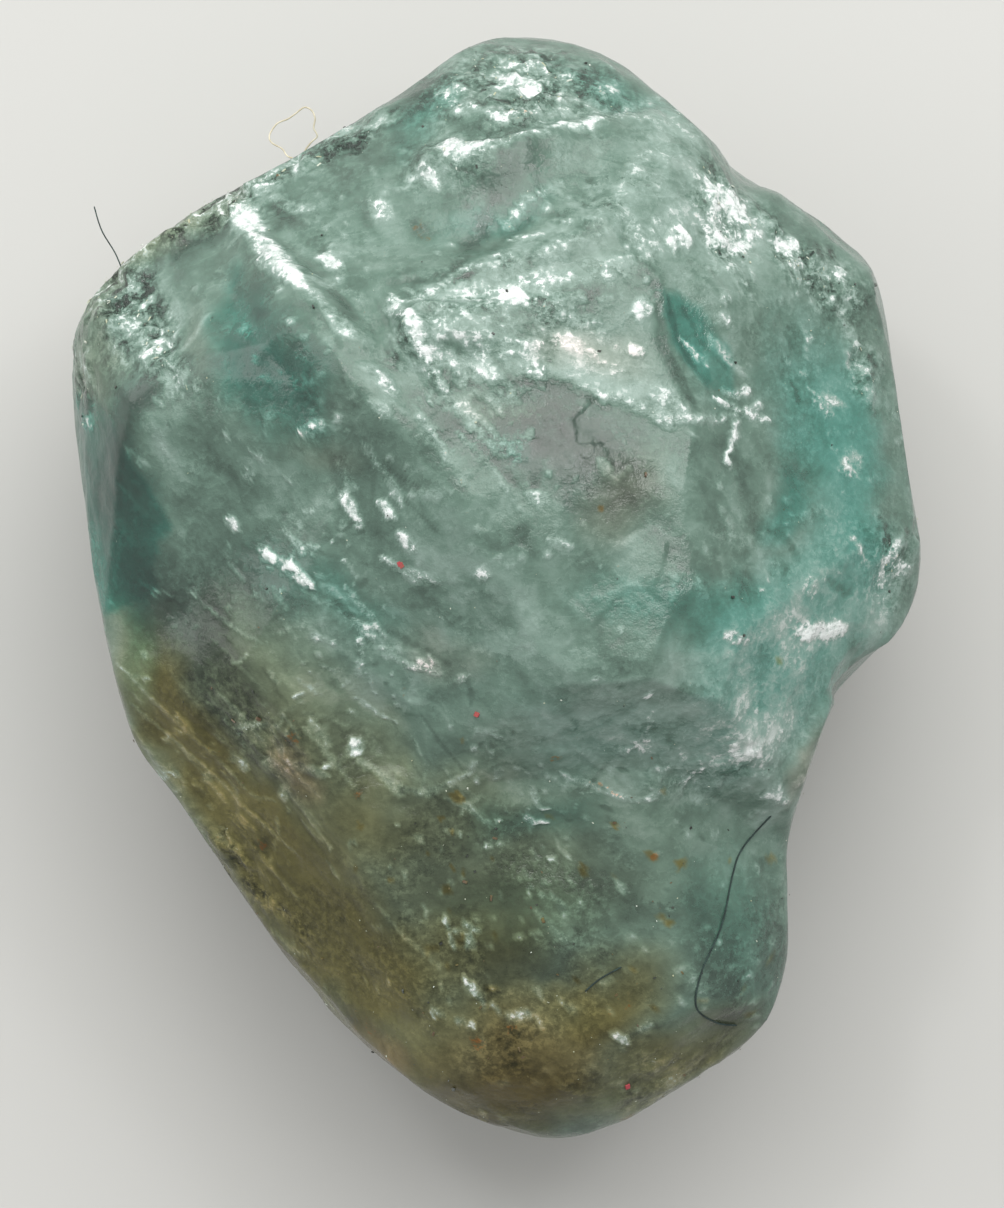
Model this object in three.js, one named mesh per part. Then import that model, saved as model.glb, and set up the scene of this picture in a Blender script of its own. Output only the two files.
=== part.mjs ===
// A rough, river-worn crystal of blue zircon, lying on a worn prism face.
// It is one natural piece: a thick block-shaped crystal with pyramid faces at its head (+Y)
// and a thinner tail (-Y) that steps down from it at a ledge. Millimetres, +Z up, origin at
// the middle of the box round the stone, on the surface that it lies on.
import * as THREE from "three";
import { mergeVertices } from "three/addons/utils/BufferGeometryUtils.js";

// Driving dimensions of the stone
const LENGTH = 16.5; // along Y, head to tail
const WIDTH = 12.7; // along X
const THICKNESS = 9.4; // along Z, from the resting face to the crown

// The stone's outline seen from above, in millimetres from the middle of its box, going round
// from the head by the left side. A smooth closed curve runs through the points.
const OUTLINE = [
  [0.36, 8.25], // head
  [-0.4, 8.08],
  [-1.45, 7.35],
  [-2.95, 6.45], // upper left pyramid face
  [-4.6, 5.55],
  [-5.8, 4.6],
  [-6.3, 3.8], // worn corner
  [-6.35, 2.8],
  [-6.15, 1.2], // left prism face
  [-5.92, -0.4],
  [-5.45, -2.2],
  [-4.72, -3.25],
  [-3.75, -4.69], // left flank of the tail
  [-2.54, -6.31],
  [-1.1, -7.52],
  [0.06, -8.08],
  [0.98, -8.25], // foot
  [1.98, -7.95],
  [3.1, -7.28],
  [3.9, -6.68],
  [4.32, -5.7], // right side of the tail
  [4.35, -4.6],
  [4.36, -3.8],
  [4.62, -2.9],
  [5.05, -1.75], // notch
  [5.5, -1.2],
  [6.1, -0.5],
  [6.35, 0.4], // lower right corner
  [6.15, 1.7],
  [5.9, 3.4], // right prism face
  [5.72, 4.5],
  [5.25, 5.15],
  [4.4, 5.75], // upper right pyramid face
  [3.5, 6.4],
  [2.7, 7.1],
  [1.9, 7.78],
  [1.1, 8.15],
];

// The point inside the stone from which every face distance is measured
const HEART = new THREE.Vector3(-0.2, -0.3, 4.6);

// Each face is given by the way it looks: its compass angle in the XY plane (0 is +X, 90 is +Y),
// its tilt above that plane, both in degrees, and its distance from the heart in millimetres.
const BODY_FACES = [
  { looks: 20, tilt: 84, distance: 4.7 }, // crown
  { looks: 215, tilt: 58, distance: 3.7 }, // broad face that falls to the left
  { looks: 184, tilt: 24, distance: 5.8 }, // steep left face
  { looks: 124, tilt: 44, distance: 6.1 }, // bevel under the upper left face
  { looks: 100, tilt: 68, distance: 5.4 }, // slope from the crown to the head
  { looks: 86, tilt: 34, distance: 7.5 }, // cap over the head
  { looks: 52, tilt: 40, distance: 6.7 }, // bevel under the upper right face
  { looks: 8, tilt: 48, distance: 5.35 }, // broad face right of the crown
  { looks: -24, tilt: 36, distance: 5.3 }, // bevel above the notch
  { looks: 276, tilt: 38, distance: 3.75 }, // ledge face that drops to the tail
  { looks: 250, tilt: 50, distance: 3.9 }, // left end of the ledge
];

const TAIL_FACES = [
  { looks: 284, tilt: 76, distance: 3.4 }, // top of the tail
  { looks: 218, tilt: 42, distance: 4.55 }, // long bevel on the left flank
  { looks: 250, tilt: 44, distance: 5.85 }, // bevel over the foot, left
  { looks: 296, tilt: 42, distance: 6.2 }, // bevel over the foot, right
  { looks: 352, tilt: 50, distance: 3.95 }, // bevel on the right side
  { looks: 90, tilt: 0, distance: 4.4 }, // buried end, inside the body
  { looks: 140, tilt: 12, distance: 4.4 }, // buried corner, upper left
  { looks: 40, tilt: 8, distance: 4.2 }, // buried corner, upper right
  { looks: 172, tilt: 48, distance: 4.5 }, // shoulder on the left
];

// The underside, which the body and the tail share
const UNDER_FACES = [
  { looks: 187, tilt: -40, distance: 5.75 }, // left
  { looks: 150, tilt: -62, distance: 5.65 }, // worn step inside the left
  { looks: 126, tilt: -38, distance: 6.7 }, // upper left
  { looks: 84, tilt: -47, distance: 6.75 }, // head
  { looks: 47, tilt: -40, distance: 6.75 }, // upper right
  { looks: 15, tilt: -64, distance: 5.6 }, // worn step inside the right
  { looks: -4, tilt: -42, distance: 6.05 }, // right
  { looks: 318, tilt: -43, distance: 5.75 }, // below the notch
  { looks: 274, tilt: -36, distance: 6.75 }, // foot
  { looks: 262, tilt: -62, distance: 5.9 }, // worn step before the foot
  { looks: 228, tilt: -36, distance: 5.45 }, // left flank of the tail
];

// How crisp the worn edges are: higher powers leave a sharper edge
const EDGE_POWER = 34;
const RIM_POWER = 50;
const JOIN_POWER = 45;

// How much the walls draw in above and below their widest level, as a share of the radius
const BARREL = 0.14;

// Hollows and bosses on the upper side: centre, half length and half width, the compass angle
// of the length, and the height, which is negative for a hollow. Millimetres and degrees.
const RELIEF = [
  // nick on the upper right edge
  { x: 3.55, y: 6.35, along: 0.9, across: 0.5, looks: 140, height: -0.22 },
  // boss beside the head
  { x: 2.6, y: 6.1, along: 1.5, across: 1.1, looks: 60, height: 0.3 },
  // hollow face right of the crown
  { x: 3.0, y: 3.4, along: 1.7, across: 0.95, looks: 118, height: -0.4 },
  // trough under the cap
  { x: -0.3, y: 5.5, along: 2.4, across: 0.8, looks: 14, height: -0.34 },
  // ridge left of the crown
  { x: -2.6, y: 3.6, along: 2.5, across: 0.7, looks: 128, height: 0.32 },
  // pitted hollow, upper left
  { x: -5.0, y: 3.7, along: 1.3, across: 0.8, looks: 100, height: -0.2 },
  // swell of the crown
  { x: 0.2, y: 1.0, along: 2.4, across: 1.5, looks: 30, height: 0.22 },
  // hollow above the notch
  { x: 5.4, y: -1.5, along: 0.9, across: 0.5, looks: 60, height: -0.2 },
  // hollow at the left end of the ledge
  { x: -1.9, y: -2.2, along: 1.5, across: 0.8, looks: 130, height: -0.28 },
  // swell on the tail's right side
  { x: 3.5, y: -5.2, along: 1.4, across: 0.9, looks: 90, height: 0.22 },
  // dish under the ledge
  { x: 1.0, y: -3.9, along: 1.6, across: 0.7, looks: 170, height: -0.18 },
  // broken hollow over the foot
  { x: 0.4, y: -6.4, along: 1.3, across: 0.7, looks: 20, height: -0.2 },
];

// Small flat chips that wear has broken off all round
const CHIPS = 150;
const CHIP_DEPTH = { least: 0.02, most: 0.3 };

// Fineness of the surface: the number of cuts along each edge of an icosahedron, less one
const SURFACE_DETAIL = 20;

const FAR = 40; // further than any face, for a ray that meets none
const GOLDEN_ANGLE = Math.PI * (3 - Math.sqrt(5));

// The unit vector that looks along a compass angle and a tilt, in degrees.
function outward(looks, tilt) {
  const turn = THREE.MathUtils.degToRad(looks);
  const rise = THREE.MathUtils.degToRad(tilt);
  return new THREE.Vector3(
    Math.cos(rise) * Math.cos(turn),
    Math.cos(rise) * Math.sin(turn),
    Math.sin(rise),
  );
}

function withNormals(faces) {
  return faces.map((face) => ({
    normal: outward(face.looks, face.tilt),
    distance: face.distance,
  }));
}

// How far a ray from the heart runs inside a block of faces. Adding the reach towards each
// face with a high power rounds the edges where two faces meet.
function runInside(direction, faces, power) {
  let sum = 0;
  for (const { normal, distance } of faces) {
    const reach = normal.dot(direction) / distance;
    if (reach > 0) sum += reach ** power;
  }
  return Math.max(sum, FAR ** -power) ** (-1 / power);
}

// A repeatable number from 0 to 1 for the chip with this index.
function scatter(index, salt) {
  const wave = Math.sin(index * 12.9898 + salt * 78.233) * 43758.5453;
  return wave - Math.floor(wave);
}

const body = withNormals(BODY_FACES);
const tail = withNormals(TAIL_FACES);
const underside = withNormals(UNDER_FACES);

// The outline as its distance from the heart at each whole step of the compass.
const OUTLINE_STEPS = 720;
const outlineReach = measureOutline();

function measureOutline() {
  const curve = new THREE.CatmullRomCurve3(
    OUTLINE.map(([x, y]) => new THREE.Vector3(x - HEART.x, y - HEART.y, 0)),
    true,
  );
  const reach = new Array(OUTLINE_STEPS).fill(0);
  const samples = curve.getPoints(OUTLINE_STEPS * 6);
  for (const { x, y } of samples) {
    const turn = Math.atan2(y, x) / (2 * Math.PI) + 1;
    reach[Math.round(turn * OUTLINE_STEPS) % OUTLINE_STEPS] = Math.hypot(x, y);
  }
  return reach;
}

function outlineRadius(direction) {
  const turn = (Math.atan2(direction.y, direction.x) / (2 * Math.PI) + 1) * OUTLINE_STEPS;
  const step = Math.floor(turn);
  const here = outlineReach[step % OUTLINE_STEPS];
  const next = outlineReach[(step + 1) % OUTLINE_STEPS];
  const flat = Math.hypot(direction.x, direction.y);
  const wall = THREE.MathUtils.lerp(here, next, turn - step) / Math.max(flat, 1e-6);
  return wall * (1 - BARREL * direction.z ** 2);
}

function smallest(lengths, power) {
  return lengths.reduce((sum, length) => sum + length ** -power, 0) ** (-1 / power);
}

// The larger of the body and the tail, limited by the underside and by the outline.
function blockRadius(direction) {
  const inBody = runInside(direction, body, EDGE_POWER);
  const inTail = runInside(direction, tail, EDGE_POWER);
  const joined = (inBody ** JOIN_POWER + inTail ** JOIN_POWER) ** (1 / JOIN_POWER);
  const below = runInside(direction, underside, EDGE_POWER);
  return smallest([joined, below, outlineRadius(direction)], RIM_POWER);
}

// Chips are planes set a little under the surface, spread evenly by the golden angle.
function makeChips() {
  const probes = spread(2400).map((d) => d.multiplyScalar(blockRadius(d)));
  return spread(CHIPS).map((normal, index) => {
    normal.x += 0.5 * (scatter(index, 1) - 0.5);
    normal.y += 0.5 * (scatter(index, 2) - 0.5);
    normal.normalize();
    const top = Math.max(...probes.map((p) => p.dot(normal)));
    const slope = Math.abs(normal.z);
    const depth = THREE.MathUtils.lerp(
      CHIP_DEPTH.least,
      CHIP_DEPTH.most,
      slope * scatter(index, 3) ** 2,
    );
    return { normal, distance: top - depth };
  });
}

// How far a ray from the heart runs before the nearest chip ends it.
function reachOfChips(direction, chips) {
  let reach = Infinity;
  for (const { normal, distance } of chips) {
    const facing = normal.dot(direction);
    if (facing > 0) reach = Math.min(reach, distance / facing);
  }
  return reach;
}

function spread(count) {
  return Array.from({ length: count }, (_, index) => {
    const z = 1 - (2 * index + 1) / count;
    const ring = Math.sqrt(1 - z * z);
    const turn = index * GOLDEN_ANGLE;
    return new THREE.Vector3(ring * Math.cos(turn), ring * Math.sin(turn), z);
  });
}

// Sum of the hollows and bosses at a point of the upper side. Each is a smooth mound over an
// ellipse, and fades out on the underside.
function reliefAt(point) {
  const upper = THREE.MathUtils.smoothstep(point.z, HEART.z - 1, HEART.z + 0.6);
  let height = 0;
  for (const mark of RELIEF) {
    const turn = THREE.MathUtils.degToRad(mark.looks);
    const dx = point.x - mark.x;
    const dy = point.y - mark.y;
    const u = (dx * Math.cos(turn) + dy * Math.sin(turn)) / mark.along;
    const v = (dy * Math.cos(turn) - dx * Math.sin(turn)) / mark.across;
    const inside = Math.max(0, 1 - u * u - v * v);
    height += mark.height * upper * inside * Math.sqrt(inside);
  }
  return height;
}

// The stone's surface: every vertex of a fine ball, moved out along its ray from the heart.
function stoneGeometry() {
  const ball = new THREE.IcosahedronGeometry(1, SURFACE_DETAIL);
  ball.deleteAttribute("normal");
  ball.deleteAttribute("uv");
  const geometry = mergeVertices(ball, 1e-5);
  const chips = makeChips();
  const place = geometry.getAttribute("position");
  const direction = new THREE.Vector3();
  const point = new THREE.Vector3();
  for (let i = 0; i < place.count; i++) {
    direction.fromBufferAttribute(place, i).normalize();
    const block = blockRadius(direction);
    let radius = Math.min(block, reachOfChips(direction, chips));
    point.copy(direction).multiplyScalar(radius).add(HEART);
    radius = Math.min(radius + reliefAt(point), outlineRadius(direction));
    // The resting face is a true plane through z = 0
    if (direction.z < 0) radius = Math.min(radius, -HEART.z / direction.z);
    point.copy(direction).multiplyScalar(radius).add(HEART);
    place.setXYZ(i, point.x, point.y, point.z);
  }
  return fitted(geometry);
}

// Scales the surface to the driving dimensions and sets its origin under its middle.
function fitted(geometry) {
  geometry.computeBoundingBox();
  const box = geometry.boundingBox;
  const size = box.getSize(new THREE.Vector3());
  const middle = box.getCenter(new THREE.Vector3());
  geometry.translate(-middle.x, -middle.y, -box.min.z);
  geometry.scale(WIDTH / size.x, LENGTH / size.y, THICKNESS / size.z);
  geometry.computeVertexNormals();
  return geometry;
}

const stone = new THREE.Mesh(
  stoneGeometry(),
  new THREE.MeshStandardMaterial({
    name: "blue zircon",
    color: 0x7fa899,
    roughness: 0.28,
    metalness: 0,
  }),
);
stone.name = "zircon_crystal";

const crystal = new THREE.Group();
crystal.add(stone);

export default crystal;
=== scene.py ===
import bpy
import numpy as np
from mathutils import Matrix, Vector


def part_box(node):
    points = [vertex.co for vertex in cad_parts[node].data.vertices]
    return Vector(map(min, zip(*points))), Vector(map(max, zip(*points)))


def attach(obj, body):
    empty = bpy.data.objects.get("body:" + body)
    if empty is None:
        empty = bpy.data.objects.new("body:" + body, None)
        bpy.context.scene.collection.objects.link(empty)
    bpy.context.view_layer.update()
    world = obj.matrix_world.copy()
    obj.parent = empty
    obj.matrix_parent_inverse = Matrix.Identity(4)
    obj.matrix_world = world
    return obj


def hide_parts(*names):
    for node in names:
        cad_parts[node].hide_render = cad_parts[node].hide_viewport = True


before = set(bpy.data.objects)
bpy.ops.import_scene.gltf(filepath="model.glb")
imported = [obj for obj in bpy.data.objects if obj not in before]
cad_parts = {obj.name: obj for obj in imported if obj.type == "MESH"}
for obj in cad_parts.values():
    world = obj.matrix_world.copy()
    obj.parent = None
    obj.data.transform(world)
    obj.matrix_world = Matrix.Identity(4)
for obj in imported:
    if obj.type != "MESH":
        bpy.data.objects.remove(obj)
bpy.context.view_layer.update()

# The view and the light. The stone lies on a pale board and is seen straight from above with its
# head up, through a close-up lens. Soft lamps stand round it, the strongest at the upper left.
MM = 0.001
VIEW_MIDDLE = (0.09, -0.25)
VIEW_TALL = 18.12  # what the picture takes in from top to bottom at the stone's rim
RIM_LEVEL = 4.6
LENS_AWAY = 110.0

view_camera = bpy.data.objects.new("close_up_camera", bpy.data.cameras.new("close_up_camera"))
view_camera.data.lens = view_camera.data.sensor_width * LENS_AWAY / VIEW_TALL
view_camera.data.clip_start = 0.002
view_camera.location = (VIEW_MIDDLE[0] * MM, VIEW_MIDDLE[1] * MM, (RIM_LEVEL + LENS_AWAY) * MM)
bpy.context.scene.collection.objects.link(view_camera)
bpy.context.scene.camera = view_camera


def soft_lamp(name, place, size, watts, colour=(1.0, 1.0, 1.0)):
    """A square lamp at a place in millimetres, turned to face the middle of the stone."""
    light = bpy.data.lights.new(name, "AREA")
    light.size = size * MM
    light.energy = watts
    light.color = colour
    lamp = bpy.data.objects.new(name, light)
    lamp.location = Vector(place) * MM
    aim = Vector((0.0, 0.0, RIM_LEVEL)) * MM - lamp.location
    lamp.rotation_euler = aim.to_track_quat("-Z", "Y").to_euler()
    bpy.context.scene.collection.objects.link(lamp)


soft_lamp("lamp_head", (20, 100, 140), 180, 0.37, (1.0, 0.99, 0.96))
soft_lamp("lamp_left", (-130, 60, 60), 130, 0.09, (1.0, 1.0, 0.98))
soft_lamp("lamp_spark_left", (-50, 65, 140), 18, 0.02)
soft_lamp("lamp_spark_right", (65, 50, 130), 18, 0.012)

room = bpy.data.worlds.new("pale_room")
room.use_nodes = True
room.node_tree.nodes["Background"].inputs["Color"].default_value = (0.86, 0.86, 0.84, 1)
room.node_tree.nodes["Background"].inputs["Strength"].default_value = 0.62
bpy.context.scene.world = room
bpy.context.scene.view_settings.view_transform = "Standard"


class Wire:
    """A number, colour or shader in a material. Arithmetic on numbers adds Math nodes."""

    def __init__(self, finish, socket):
        self.finish = finish
        self.socket = socket

    def math(self, operation, *values):
        """Adds a Math node on the values."""
        return self.finish.add(
            "ShaderNodeMath", {"operation": operation}, dict(enumerate(values))
        )

    def __add__(self, other):
        return self.math("ADD", self, other)

    def __sub__(self, other):
        return self.math("SUBTRACT", self, other)

    def __rsub__(self, other):
        return self.math("SUBTRACT", other, self)

    def __mul__(self, other):
        return self.math("MULTIPLY", self, other)

    def __abs__(self):
        return self.math("ABSOLUTE", self)

    __radd__ = __add__
    __rmul__ = __mul__


class Finish:
    """A material under way. Its patterns are in millimetres on the piece itself."""

    def __init__(self, name):
        self.material = bpy.data.materials.new(name)
        self.material.use_nodes = True
        self.material.node_tree.nodes.clear()

    def add(self, kind, settings, sockets, out=0):
        """Adds a node: its settings, then the values or wires of its sockets. Returns one output."""
        tree = self.material.node_tree
        node = tree.nodes.new(kind)
        for name, value in settings.items():
            if name == "stops":
                while len(node.color_ramp.elements) < len(value):
                    node.color_ramp.elements.new(1.0)
                for stop, (position, colour) in zip(node.color_ramp.elements, value):
                    stop.position = position
                    stop.color = colour
            else:
                setattr(node, name, value)
        for name, value in sockets.items():
            if isinstance(value, Wire):
                tree.links.new(value.socket, node.inputs[name])
            else:
                node.inputs[name].default_value = value
        return Wire(self, node.outputs[out]) if node.outputs else None

    def place(self):
        """Where the point is on the piece, in millimetres."""
        spot = self.add("ShaderNodeTexCoord", {}, {}, "Object")
        scale = {"Vector": spot, "Scale": 1 / MM}
        return self.add("ShaderNodeVectorMath", {"operation": "SCALE"}, scale)

    def painted(self, name):
        """How strong one kind of marking is here, as kept on the piece's points."""
        settings = {"attribute_type": "GEOMETRY", "attribute_name": name}
        return self.add("ShaderNodeAttribute", settings, {}, "Fac")

    def noise(self, vector, scale, detail, roughness):
        """Uneven cloud, about 0.5 in the mean."""
        sockets = {"Vector": vector, "Scale": scale, "Detail": detail, "Roughness": roughness}
        return self.add("ShaderNodeTexNoise", {}, sockets, "Fac")

    def shard(self, vector, scale):
        """Space cut into cells, each the part nearest to a seed: a random colour for each cell, and
        the red of it alone."""
        cells = self.add("ShaderNodeTexVoronoi", {}, {"Vector": vector, "Scale": scale}, "Color")
        return cells, self.add("ShaderNodeSeparateColor", {}, {"Color": cells})

    def moved(self, first, second, share):
        """The first vector plus the second times the share, of length one."""
        scaled = {"Vector": second, "Scale": share}
        more = self.add("ShaderNodeVectorMath", {"operation": "SCALE"}, scaled)
        total = self.add("ShaderNodeVectorMath", {"operation": "ADD"}, {0: first, 1: more})
        return self.add("ShaderNodeVectorMath", {"operation": "NORMALIZE"}, {0: total})

    def ramp(self, value, low, high):
        """0 below low and 1 above high, with a smooth rise between."""
        sockets = {"Value": value, "From Min": low, "From Max": high}
        return self.add("ShaderNodeMapRange", {"interpolation_type": "SMOOTHSTEP"}, sockets)

    def ladder(self, value, stops):
        """A colour that runs straight from stop to stop, each a place from 0 to 1 and its colour."""
        return self.add("ShaderNodeValToRGB", {"stops": stops}, {"Fac": value})

    def blend(self, share, first, second, way="MIX"):
        """The first colour where the share is 0. Where it is 1 the second, or both multiplied."""
        settings = {"data_type": "RGBA", "blend_type": way}
        return self.add("ShaderNodeMix", settings, {0: share, 6: first, 7: second}, 2)

    def bump(self, height, strength, depth):
        """The surface's normal, tilted by a height that counts for so many millimetres."""
        sockets = {"Strength": strength, "Distance": depth * MM, "Height": height}
        return self.add("ShaderNodeBump", {}, sockets, "Normal")

    def close(self, surface, volume=None):
        """Ends the material with its surface, and with what fills the piece if anything does."""
        outputs = {"Surface": surface}
        if volume is not None:
            outputs["Volume"] = volume
        self.add("ShaderNodeOutputMaterial", {}, outputs)
        return self.material


def new_piece(name, points, faces, material, markings=None, smooth=True):
    """Puts points in millimetres, faces and markings into a new mesh."""
    mesh = bpy.data.meshes.new(name)
    mesh.from_pydata((np.asarray(points) * MM).tolist(), [], np.asarray(faces).tolist())
    mesh.polygons.foreach_set("use_smooth", np.full(len(mesh.polygons), smooth))
    for marking, values in (markings or {}).items():
        layer = mesh.attributes.new(marking, "FLOAT", "POINT")
        layer.data.foreach_set("value", np.asarray(values, np.float32))
    mesh.materials.append(material)
    piece = bpy.data.objects.new(name, mesh)
    bpy.context.scene.collection.objects.link(piece)
    return piece


BOARD_HALF = 600.0
BOARD_TOP = -0.02  # a hair under the stone, so that the two don't share a plane
board_finish = Finish("pale_board")
board_surface = {"Base Color": (0.5, 0.5, 0.49, 1), "Roughness": 0.65}
board_corners = np.array([[-1, -1, 0], [1, -1, 0], [1, 1, 0], [-1, 1, 0]])
board = new_piece(
    "board",
    board_corners * BOARD_HALF + [0, 0, BOARD_TOP],
    [[0, 1, 2, 3]],
    board_finish.close(board_finish.add("ShaderNodeBsdfPrincipled", {}, board_surface)),
)

# The stone's surface: one natural crystal of zircon, a block with pyramid faces at its head that
# steps down at a ledge to a thinner tail. Rivers have rounded its edges, chipped it and pitted it.
# It is clear and bends light strongly, and tints what is seen through it blue-green.
HEART = np.array([-0.2, -0.3, 4.6])
OUTLINE = np.array([
    [0.36, 8.25], [-0.4, 8.08], [-1.45, 7.35], [-2.95, 6.45], [-4.6, 5.55], [-5.8, 4.6],
    [-6.3, 3.8], [-6.35, 2.8], [-6.15, 1.2], [-5.92, -0.4], [-5.45, -2.2], [-4.72, -3.25],
    [-3.75, -4.69], [-2.54, -6.31], [-1.1, -7.52], [0.06, -8.08], [0.98, -8.25], [1.98, -7.95],
    [3.1, -7.28], [3.9, -6.68], [4.32, -5.7], [4.35, -4.6], [4.36, -3.8], [4.62, -2.9],
    [5.05, -1.75], [5.5, -1.2], [6.1, -0.5], [6.35, 0.4], [6.15, 1.7], [5.9, 3.4],
    [5.72, 4.5], [5.25, 5.15], [4.4, 5.75], [3.5, 6.4], [2.7, 7.1], [1.9, 7.78], [1.1, 8.15],
])
# Faces: compass angle, tilt above the level, distance from the heart
BODY_FACES = [
    (20, 84, 4.7), (215, 58, 3.7), (184, 24, 5.8), (124, 44, 6.1), (100, 68, 5.4), (86, 34, 7.5),
    (52, 40, 6.7), (8, 48, 5.35), (-24, 36, 5.3), (276, 38, 3.75), (250, 50, 3.9),
]
TAIL_FACES = [
    (284, 76, 3.4), (218, 42, 4.55), (250, 44, 5.85), (296, 42, 6.2), (352, 50, 3.95),
    (90, 0, 4.4), (140, 12, 4.4), (40, 8, 4.2), (172, 48, 4.5),
]
UNDER_FACES = [
    (187, -40, 5.75), (150, -62, 5.65), (126, -38, 6.7), (84, -47, 6.75), (47, -40, 6.75),
    (15, -64, 5.6), (-4, -42, 6.05), (318, -43, 5.75), (274, -36, 6.75), (262, -62, 5.9),
    (228, -36, 5.45),
]
EDGE_POWER, RIM_POWER, JOIN_POWER = 60, 70, 60
BARREL = 0.14
FAR = 40.0
# Mounds: middle x and y, half length, half width, compass angle of the length, height
RELIEF = [
    (3.55, 6.35, 0.9, 0.5, 140, -0.22), (2.6, 6.1, 1.5, 1.1, 60, 0.3),
    (3.0, 3.5, 1.5, 0.7, 118, -0.1), (-0.3, 5.5, 2.4, 0.8, 14, -0.34),
    (-2.6, 3.6, 2.5, 0.7, 128, 0.32), (-5.0, 3.7, 1.3, 0.8, 100, -0.2),
    (0.2, 1.0, 2.4, 1.5, 30, 0.22), (5.4, -1.5, 0.9, 0.5, 60, -0.2),
    (-1.9, -2.2, 1.5, 0.8, 130, -0.28), (3.5, -5.2, 1.4, 0.9, 90, 0.22),
    (1.0, -3.9, 1.6, 0.7, 170, -0.18), (0.4, -6.4, 1.3, 0.7, 20, -0.2),
]
CHIPS = 150
CHIP_LEAST, CHIP_MOST = 0.02, 0.3
GOLDEN_ANGLE = np.pi * (3 - np.sqrt(5))
SKIN_CUTS = 128
UPWARD_LEAN = 0.45  # how far the grid is drawn towards the side that is seen


def unit(vectors):
    """The vectors over their own lengths."""
    return vectors / np.linalg.norm(vectors, axis=1, keepdims=True)


def headed(turn):
    """Level vectors of length one along compass angles in radians."""
    return np.stack([np.cos(turn), np.sin(turn)], 1)


def ball_grid(cuts, lean):
    """Ways out from the middle of a ball, and the square cells between them.

    The six sides of a cube are cut evenly by angle and bulged on to the ball. Adding a share of
    straight up to every way, and making it one long again, draws the cells together at the top."""
    steps = np.tan(np.linspace(-1, 1, cuts + 1) * np.pi / 4)
    a, b = np.meshgrid(steps, steps, indexing="ij")
    corner = np.arange((cuts + 1) ** 2).reshape(cuts + 1, cuts + 1)
    ring = [corner[:-1, :-1], corner[1:, :-1], corner[1:, 1:], corner[:-1, 1:]]
    cell = np.stack(ring, -1).reshape(-1, 4)
    ways, cells = [], []
    for axis in range(3):
        for sign in (1, -1):
            side = np.empty(a.shape + (3,))
            side[..., axis] = sign
            side[..., (axis + 1) % 3] = a * sign
            side[..., (axis + 2) % 3] = b
            cells.append(cell + len(ways) * corner.size)
            ways.append(side.reshape(-1, 3))
    ways = np.concatenate(ways)
    keys = np.round(ways * 1e6).astype(np.int64)
    _, first, where = np.unique(keys, axis=0, return_index=True, return_inverse=True)
    ways = unit(ways[first])
    ways[:, 2] += lean
    return unit(ways), where.reshape(-1)[np.concatenate(cells)]


def curve(before, here, after, beyond, steps):
    """A smooth line of steps from each point here to the one after it: the cubic whose slope at each
    of the two is half the way from the point before it to the point after it."""
    p0, p1, p2, p3 = (points[:, None] for points in (before, here, after, beyond))
    t = np.linspace(0, 1, steps, endpoint=False)[None, :, None]
    bend = (2 * p0 - 5 * p1 + 4 * p2 - p3) * t**2 + (3 * p1 - p0 - 3 * p2 + p3) * t**3
    return (p1 + 0.5 * ((p2 - p0) * t + bend)).reshape(-1, 2)


def run_inside(ways, faces, power):
    """How far rays from the heart run inside a block of faces. The reach towards each face is summed
    with a high power, which rounds the edges where two faces meet."""
    turn, rise, distance = np.array(faces, float).T
    turn, rise = np.radians(turn), np.radians(rise)
    normals = np.stack([np.cos(rise) * np.cos(turn), np.cos(rise) * np.sin(turn), np.sin(rise)])
    reach = np.clip(ways @ normals / distance, 0, None)
    return np.maximum((reach**power).sum(1), FAR**-power) ** (-1 / power)


def wall_distance(ways):
    """How far rays run to the upright wall over the outline, which draws in above and below."""
    loop = curve(*(np.roll(OUTLINE, shift, 0) for shift in (1, 0, -1, -2)), 24) - HEART[:2]
    turn = np.arctan2(loop[:, 1], loop[:, 0])
    here = np.arctan2(ways[:, 1], ways[:, 0])
    reach = np.interp(here, turn, np.hypot(*loop.T), period=2 * np.pi)
    flat = np.maximum(np.hypot(ways[:, 0], ways[:, 1]), 1e-6)
    return reach / flat * (1 - BARREL * ways[:, 2] ** 2)


def block_distance(ways):
    """The larger of the body and the tail, limited by the underside and by the wall."""
    body = run_inside(ways, BODY_FACES, EDGE_POWER)
    tail = run_inside(ways, TAIL_FACES, EDGE_POWER)
    joined = (body**JOIN_POWER + tail**JOIN_POWER) ** (1 / JOIN_POWER)
    below = run_inside(ways, UNDER_FACES, EDGE_POWER)
    limits = np.stack([joined, below, wall_distance(ways)])
    return (limits**-RIM_POWER).sum(0) ** (-1 / RIM_POWER)


def spread(count):
    """Ways spread evenly over a ball by the golden angle."""
    index = np.arange(count)
    z = 1 - (2 * index + 1) / count
    ring = np.sqrt(1 - z * z)
    turn = index * GOLDEN_ANGLE
    return np.stack([ring * np.cos(turn), ring * np.sin(turn), z], 1)


def scatter(index, salt):
    """A repeatable number from 0 to 1 for each index."""
    wave = np.sin(index * 12.9898 + salt * 78.233) * 43758.5453
    return wave - np.floor(wave)


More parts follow.
